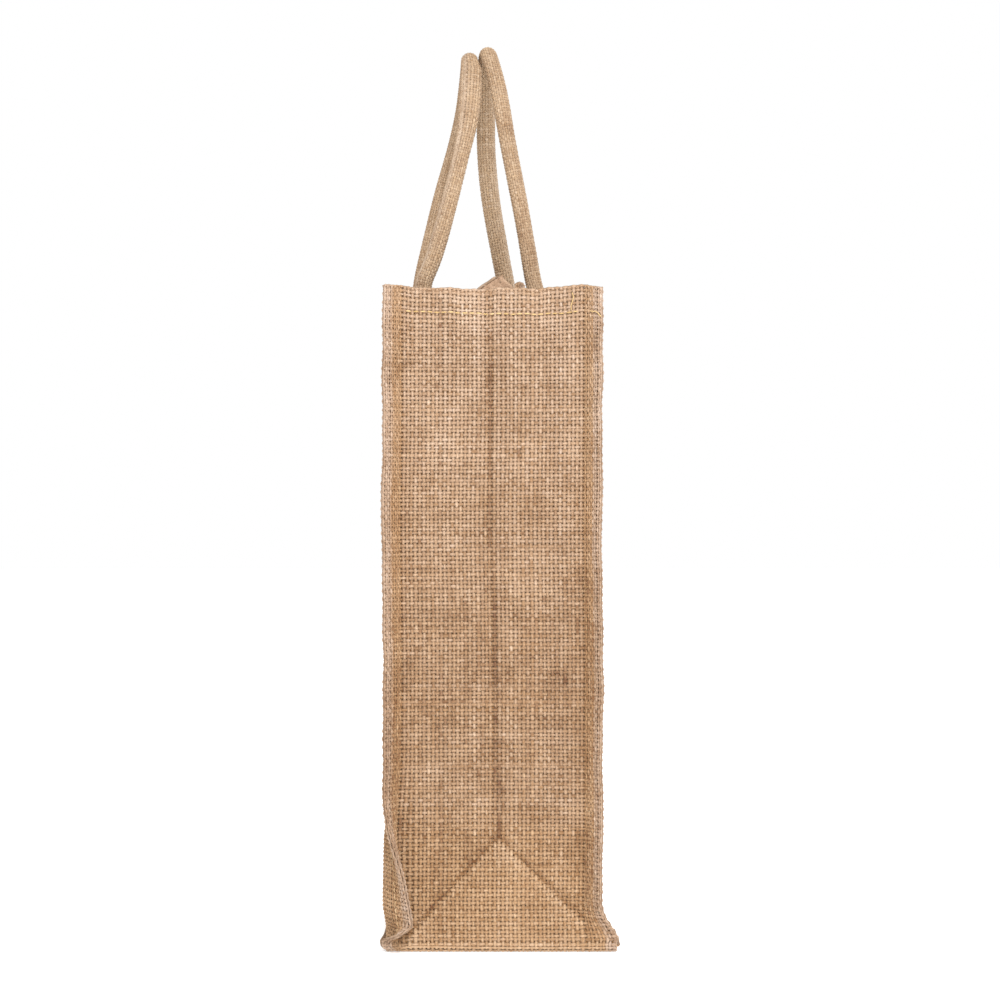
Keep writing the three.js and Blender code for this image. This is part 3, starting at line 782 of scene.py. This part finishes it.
panel_rows = int(round((HEIGHT - FLANGE_Z) / YARN_PITCH))
panel_z = np.linspace(FLANGE_Z + 0.8, 349.9, panel_rows)
panels = {}
for wall in ("front", "back"):
    s, z = crossings(ACROSS, panel_z)
    z = np.clip(z, FLANGE_Z, HEIGHT)
    nodes = settle(cloth_point(wall, s, z))
    tone = 0.51 + rng.normal(0, 0.045, (len(ACROSS), 1))
    rows_tone = 0.49 + rng.normal(0, 0.055, (panel_rows, 1))
    panels[wall] = weave(
        wall + "_panel", nodes, jute_warp, jute_weft, tone, rows_tone,
        BAND_STAIN_AND_SHADE + drift(s.shape, (9, 11), 0.035), BAND_PALE + 0.3 * ease(z, 60, 300),
    )
    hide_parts(wall + "_panel")
    hem_piece(wall, ACROSS[HEM_COLUMNS], tone[HEM_COLUMNS])
    # the bottom allowance turns out over the strip's own
    sign = -1 if wall == "front" else 1
    out = np.array([0.4, 1.6, 2.9, 4.4, 6.2, 8.2, 10.3, 12.2])
    up = np.array([2.6, 1.1, 0.35, 0, 0, 0, 0, -0.5])
    along = np.linspace(-BASE_HALF, BASE_HALF, 43)
    flange = np.zeros((len(along), len(out), 3))
    flange[..., 0] = sign * (SEAM_HALF + out[None])
    flange[..., 1] = along[:, None] + drift((len(along), len(out)), (2, 3), 0.15)
    flange[..., 2] = FLANGE_Z + up[None]
    flange = settle(flange)
    if sign < 0:
        flange = flange[::-1]
    panels[wall] += weave(
        wall + "_bottom_allowance", flange, jute_warp, jute_weft,
        0.45 + rng.normal(0, 0.09, (len(along), 1)), 0.42 + rng.normal(0, 0.08, (len(out), 1)),
    )

# ---------------------------------------------------------------- the lining, glued inside each cloth
FILM_DEEP = 0.74
FILM_EDGE = 11.6
strip_film = film(
    "strip_lining", lambda s, t: strip_point(s, t, FILM_DEEP), (-FILM_EDGE, SPAN + FILM_EDGE),
    np.linspace(1.2, STRIP_LENGTH - 1.2, 260), lining,
)
for wall in ("front", "back"):
    film(
        wall + "_panel_lining", lambda s, z, w=wall: cloth_point(w, s, z, FILM_DEEP),
        (-FILM_EDGE, SPAN + FILM_EDGE), np.linspace(FLANGE_Z + 0.6, 348.8, 120), lining,
    )
tuck_facing = film(
    "tuck_facing", lambda s, z: cloth_point("far", s, z, 2.75), (0.5 * SPAN, 0.84 * SPAN),
    np.linspace(326, 350.4, 30), facing,
)

# ---------------------------------------------------------------- sewing
def dashes(name, path, normals, stitch, radius, material, rise=0.25):
    """Stitches: one short tube a stitch, dipping into the cloth at both ends."""
    length, gap = stitch
    step = np.linalg.norm(np.diff(path, axis=0), axis=1)
    run = np.concatenate([[0], np.cumsum(step)])
    starts = np.arange(0.5, run[-1] - length, length + gap)
    starts = starts + rng.normal(0, 0.12, starts.shape)
    share = np.linspace(0, 1, 7)
    at = starts[:, None] + share[None] * length
    centre = np.stack([np.interp(at, run, path[:, k]) for k in range(3)], -1)
    normal = unit(np.stack([np.interp(at, run, normals[:, k]) for k in range(3)], -1))
    arch = (np.sin(np.pi * share) ** 0.6 * (rise + 0.45) - 0.45)[None, :, None]
    centre = centre + normal * arch + rng.normal(0, 0.06, (len(starts), 1, 3))
    width = radius * (0.75 + 0.35 * np.sin(np.pi * share))[None] * np.ones((len(starts), 1))
    tone = np.ones(width.shape) * rng.uniform(0.3, 0.9, (len(starts), 1))
    part = strands(centre, normal, width, width * 0.85, 6, tone, np.full(width.shape, 0.8), 0.1)
    obj = yarn_piece(name, [part], material)
    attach(obj, "bag")
    return obj


def path_normals(wall, s, z, deep, inward=False):
    """A path on a cloth and the direction away from it."""
    here = settle(cloth_point(wall, s, z, deep))
    below = settle(cloth_point(wall, s, z, deep + 0.5))
    normal = unit(here - below)
    return here, (-normal if inward else normal)


THREAD = 0.4
SEAM_STITCH, HEM_STITCH, END_STITCH = (2.7, 0.9), (2.7, 1.0), (2.2, 0.7)  # a stitch and the gap after it
for wall in ("front", "back"):
    corners = ("near_front", "far_front") if wall == "front" else ("near_back", "far_back")
    lines, ups = [], []
    heights = np.linspace(344, 4.5, 170)
    out = 3.2
    ends = {WALLS[wall][0]: -out, WALLS[wall][1]: SPAN + out}
    for corner, order in ((corners[0], 1), (corners[1], -1)):
        z = heights[::order]
        here, normal = path_normals(wall, np.full(z.shape, ends[corner]), z, -0.75)
        lines.append(here)
        ups.append(normal)
        if order == 1:
            sign = -1 if wall == "front" else 1
            y = np.linspace(-BASE_HALF + 1, BASE_HALF - 1, 40)
            x = np.full(y.shape, sign * (SEAM_HALF + out))
            lines.append(settle(np.stack([x, y, np.full(y.shape, FLANGE_Z + 0.8)], -1)))
            ups.append(np.tile((0.0, 0.0, 1.0), (len(y), 1)))
    seam = dashes(
        wall + "_seam_stitches", np.concatenate(lines), np.concatenate(ups), SEAM_STITCH, THREAD, seam_thread
    )
    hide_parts(wall + "_seam_thread")

for wall in ("near", "back", "far", "front"):
    s = np.linspace(2.5, SPAN - 2.5, 60)
    z = HEM_STITCH_Z + 0.5 * np.sin(s / 17) + 0.25 * np.sin(s / 5)
    for label, deep, inward in (("outside", -0.78, False), ("inside", 2.35, True)):
        here, normal = path_normals(wall, s, z, deep, inward)
        row = dashes(f"{wall}_hem_stitches_{label}", here, normal, HEM_STITCH, 0.36, yellow_thread, 0.12)
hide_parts("hem_thread")

# two loose ends of the hem's thread, by the near corner of the back panel
loose = np.array([
    [(90.2, 346.5), (91.0, 344.0), (90.2, 341.6), (89.6, 339.4), (89.8, 337.4)],
    [
        (SPAN + 5.5, 337.0), (SPAN + 7.5, 336.6), (SPAN + 9.5, 336.9),
        (SPAN + 11.2, 336.2), (SPAN + 12.4, 334.6),
    ],
])
stops = np.linspace(0, 4, 17)
loose = np.stack([np.interp(stops, np.arange(5), loose[k, :, c]) for k in range(2) for c in range(2)])
loose = loose.reshape(2, 2, 17)
here, normal = path_normals("near", loose[:, 0], loose[:, 1], np.full((2, 17), -1.1))
thin = np.full((2, 17), 0.27)
ends_of_thread = yarn_piece(
    "loose_thread_ends",
    [strands(here, normal, thin, thin, 6, np.full((2, 17), 0.6), np.full((2, 17), 0.9), 0.2)],
    yellow_thread,
)
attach(ends_of_thread, "bag")

# ---------------------------------------------------------------- the handles
HANDLE_WARPS = 19
HANDLE_ROW = 1.45
WEBBING_THICK = 0.72
STITCH_BOX_Z = 326.0  # middle of the box of stitches on a pressed end
ROUND_FROM = 340  # the webbing is closed round its core above this height
# the turn of each closing seam round its handle, at the foot and at the top
GROOVE = {"front_handle": (0.35, 0.85), "back_handle": (0.0, 0.0)}


def smooth_line(points, step):
    """Even points along a rounded path through the given ones."""
    p = np.array(points, float)
    ext = np.vstack([2 * p[0] - p[1], p, 2 * p[-1] - p[-2]])
    out = []
    for k in range(1, len(ext) - 2):
        a, b, c, d = ext[k - 1 : k + 3]
        t = np.linspace(0, 1, 24, endpoint=False)[:, None]
        square, cube = 2 * a - 5 * b + 4 * c - d, 3 * b - a - 3 * c + d
        out.append(0.5 * (2 * b + (c - a) * t + square * t**2 + cube * t**3))
    line = np.vstack(out + [p[-1:]])
    for _ in range(6):
        line[1:-1] = (line[:-2] + 2 * line[1:-1] + line[2:]) / 4
    run = np.concatenate([[0], np.cumsum(np.linalg.norm(np.diff(line, axis=0), axis=1))])
    at = np.linspace(0, run[-1], int(run[-1] / step) + 1)
    return np.stack([np.interp(at, run, line[:, k]) for k in range(3)], -1)


def sewn_end(node, wall):
    """How low a pressed end reaches, and how far along its wall it is sewn."""
    low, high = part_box(node)
    x, y = (low.x + high.x) / 2 / MM, (low.y + high.y) / 2 / MM
    u = np.linspace(0.05, 0.95, 400)
    z = np.full(u.shape, (low.z + high.z) / 2 / MM)
    line = seam_line(wall, u, z)
    return low.z / MM, u[np.argmin(((line - (x, y)) ** 2).sum(-1))]


def handle(name, wall, line, reference):
    ends = []
    for place in ("near", "far"):
        low, u = sewn_end(f"{name}_{place}_end", wall)
        z = np.linspace(low, 340.5, 6)
        s = np.full(z.shape, u * SPAN)
        ends.append(settle(cloth_point(wall, s, z, END_DEPTH + 2.6 * ease(z, 322, 341))))
    path = np.vstack([ends[0], np.array(line, float), ends[1][::-1]])
    centre = smooth_line(path, HANDLE_ROW)
    tangent = unit(np.gradient(centre, axis=0))
    ref = np.array(reference, float)
    up = unit(ref - tangent * (tangent @ ref)[:, None])
    side = np.cross(tangent, up)
    rings = len(centre)
    z = centre[:, 2]
    rounded = ease(z, 320, 343)
    full = HANDLE_RADIUS - WEBBING_THICK
    lump = 1 + drift((rings, 2), (16, 1), 0.022)[:, 0]
    half_up = lerp(1.0, full, rounded) * lump
    half_side = lerp(5.4, full, rounded) * lump
    if name == "front_handle":
        wider = 1.3 * ease(z, 420, 452) * ease(-centre[:, 1], 4, 12)
        half_up = half_up + wider
        centre = centre + np.stack([wider, 0 * z, 0 * z], -1)
        half_up = half_up * (1 + 0.06 * ease(z, 452, 465))
    else:
        far_side = 1 + 0.16 * ease(centre[:, 1], 4, 14) * rounded
        half_up, half_side = half_up * far_side, half_side * far_side
    first, last = GROOVE[name]
    seam_angle = lerp(first, last, ease(z, 356, 440))

    def on_tube(angle, stand=0.0):
        c, s = np.cos(angle)[..., None], np.sin(angle)[..., None]
        normal = unit(up * c / half_up[:, None] + side * s / half_side[:, None])
        return centre + up * c * half_up[:, None] + side * s * half_side[:, None] + normal * stand

    # webbing closed round the core: its two edges meet at the closing seam
    span = np.linspace(0.2, 2 * np.pi - 0.2, HANDLE_WARPS)
    angle = seam_angle[None] + span[:, None] + drift((HANDLE_WARPS, rings), (3, 12), 0.012)
    nodes = on_tube(angle)
    # painted light and shade by how light falls on each handle: the front handle darker all over, the back
    # handle's near leg darker and its far leg lighter
    shade = -0.13 + 0 * z if name == "front_handle" else lerp(-0.13, 0.04, ease(centre[:, 1], -8, 8))
    tone = 0.51 + rng.normal(0, 0.05, (HANDLE_WARPS, 1))
    edge = np.minimum(span, 2 * np.pi - span)[:, None]
    # a darker stripe round one side of the webbing, and darker along its edges
    stain_and_shading = -0.07 * bump(span[:, None], 5.4, 0.55) * np.ones((1, rings))
    stain_and_shading = stain_and_shading - 0.05 * bump(edge, 0.1, 0.25) + shade[None]
    normals = unit(np.cross(np.gradient(nodes, axis=1), np.gradient(nodes, axis=0)))
    toward = nodes - centre[None]
    normals = normals * np.sign((normals * toward).sum(-1, keepdims=True))
    sign = np.where((np.arange(HANDLE_WARPS)[:, None] + np.arange(rings)[None]) % 2 == 0, 1.0, -1.0)
    apart = np.linalg.norm(np.gradient(nodes, axis=0), axis=-1)
    stacked = np.linalg.norm(np.gradient(nodes, axis=1), axis=-1)
    turn = (1, 0, 2)
    pale = np.full((HANDLE_WARPS, rings), 0.3) + 0.3 * bump(edge, 0.1, 0.5)
    sets = [
        yarn_set(
            nodes, normals, sign, apart, (0.68, 0.60, 0.50), tone + between_nodes(stain_and_shading), pale, 0.22, 0.42,
        ),
        yarn_set(
            nodes.transpose(turn), normals.transpose(turn), -sign.T, stacked.T, (0.62, 0.55, 0.46),
            0.48 + rng.normal(0, 0.04, (rings, 1)) + between_nodes(stain_and_shading.T), pale.T, 0.22, 0.38,
        ),
    ]
    core = strands(
        centre[None], up[None], (half_side - 0.3)[None], (half_up - 0.3)[None], 14,
        np.full((1, rings), 0.6), np.full((1, rings), 0.9), 0.6,
    )
    keep = z > ROUND_FROM
    count = int(keep.sum())
    cord = strands(
        on_tube(seam_angle, 0.05)[keep][None], (on_tube(seam_angle) - centre)[keep][None],
        np.full((1, count), 1.4), 0.30 + drift((1, count), (1, 2), 0.04), 8,
        0.44 + drift((1, count), (1, 3), 0.08), np.full((1, count), 0.8), 0.5, np.full((1, count), 0.65),
    )
    obj = yarn_piece(name + "_webbing", sets + [core, cord], handle_braid)
    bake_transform(obj)
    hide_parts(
        name + "_cover", name + "_core", name + "_closing_thread",
        name + "_near_end", name + "_far_end",
    )
    # the box of stitches that holds each end
    for place, points in zip(("near", "far"), ends):
        _, u = sewn_end(f"{name}_{place}_end", wall)
        corner = np.array([(-1, -1), (1, -1), (1, 1), (-1, 1), (-1, -1), (1, 1)], float)
        share = np.linspace(0, 1, 9)[:, None]
        fine = np.vstack([a + (b - a) * share for a, b in zip(corner[:-1], corner[1:])])
        s = u * SPAN + fine[:, 0] * 4.0
        z = STITCH_BOX_Z + fine[:, 1] * 5.0
        here, normal = path_normals(wall, s, z, END_DEPTH + 1.75, True)
        stitch = dashes(f"{name}_{place}_end_stitches", here, normal, END_STITCH, THREAD, yellow_thread)
        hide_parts(f"{wall}_{place}_end_stitch")


handle("front_handle", "front", FRONT_HANDLE_LINE, (-1, 0, 0))
handle("back_handle", "back", BACK_HANDLE_LINE, (1, 0, 0))

# ---------------------------------------------------------------- loose fibres
def hairs(name, roots, normals, count, reach):
    pick = rng.integers(0, len(roots), count)
    root = roots[pick] + rng.normal(0, 0.5, (count, 3))
    aim = unit(normals[pick] * 0.6 + rng.normal(0, 0.7, (count, 3)))
    curl = unit(rng.normal(0, 1, (count, 3)))
    share = np.linspace(0, 1, 6)[None, :, None]
    size = (np.minimum(rng.gamma(2.0, reach / 2, count), 2.2 * reach) + 0.8)[:, None, None]
    centre = root[:, None] + aim[:, None] * share * size + curl[:, None] * share**2 * size * 0.55
    centre[..., 2] = np.maximum(centre[..., 2], 0.3)
    face = np.repeat(unit(np.cross(aim, curl + 1e-3))[:, None], 6, 1)
    thin = np.ones((count, 6)) * 0.055 * (1 - 0.6 * share[..., 0])
    part = strands(centre, face, thin, thin, 3, None, np.full((count, 6), 0.9), 0.05)
    obj = yarn_piece(name, [part], fibre_hair)
    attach(obj, "bag")
    return obj


strip_normals = unit(np.cross(np.gradient(strip_nodes, axis=0), np.gradient(strip_nodes, axis=1)))
ridge = np.arange(len(RIDGE_YARNS))
ridges = np.concatenate([ridge, len(ACROSS) - len(RIDGE_YARNS) + ridge])


def twice_on_ridges(table):
    """One row a crossing, with those of the ridges counted twice."""
    inner = table[:, 4:-4]
    return np.concatenate([inner.reshape(-1, 3), inner[ridges].reshape(-1, 3)])


all_roots, all_normals = twice_on_ridges(strip_nodes), twice_on_ridges(strip_normals)
above_floor = all_roots[:, 2] > 2.5
hairs("cloth_fibres", all_roots[above_floor], all_normals[above_floor], 1500, 1.9)

# ---------------------------------------------------------------- an empty loop over the two panels
for wall in ("front", "back"):
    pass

# ---------------------------------------------------------------- floor, light and camera
bm = bmesh.new()
bmesh.ops.create_grid(bm, x_segments=2, y_segments=2, size=6)
floor_mesh = bpy.data.meshes.new("floor")
bm.to_mesh(floor_mesh)
bm.free()
floor = bpy.data.objects.new("floor", floor_mesh)
bpy.context.scene.collection.objects.link(floor)
floor_material, _, floor_shader = new_material("pale_floor", 0.9)
floor_shader.inputs["Base Color"].default_value = (0.93, 0.93, 0.93, 1)
floor_shader.inputs["Emission Color"].default_value = (1, 1, 1, 1)
floor_shader.inputs["Emission Strength"].default_value = 0.35
floor_mesh.materials.append(floor_material)

world = bpy.data.worlds.new("studio")
bpy.context.scene.world = world
world.use_nodes = True
world.node_tree.nodes["Background"].inputs["Color"].default_value = (1, 1, 1, 1)
world.node_tree.nodes["Background"].inputs["Strength"].default_value = 1.0


def area_light(name, place, aim, size, power):
    data = bpy.data.lights.new(name, "AREA")
    data.shape = "RECTANGLE"
    data.size, data.size_y = size
    data.energy = power
    obj = bpy.data.objects.new(name, data)
    bpy.context.scene.collection.objects.link(obj)
    obj.location = place
    obj.visible_camera = False
    obj.rotation_euler = (Vector(aim) - Vector(place)).to_track_quat("-Z", "Y").to_euler()


area_light("key", (0.2, -1.45, 1.35), (0, 0, 0.2), (0.6, 0.6), 30)
area_light("fill", (1.5, -1.2, 0.7), (0, 0, 0.2), (1.0, 1.0), 3)
area_light("back_fill", (0.3, 1.6, 1.2), (0, 0, 0.25), (1.0, 1.0), 6)

camera_data = bpy.data.cameras.new("camera")
camera = bpy.data.objects.new("camera", camera_data)
bpy.context.scene.collection.objects.link(camera)
camera.location = (0.0039, -1.150, 0.2381)
camera.rotation_euler = (math.radians(90), 0, 0)
camera_data.sensor_width = 36
camera_data.lens = 75.35
camera_data.clip_start, camera_data.clip_end = 0.05, 50
bpy.context.scene.camera = camera
bpy.context.scene.view_settings.view_transform = "Standard"
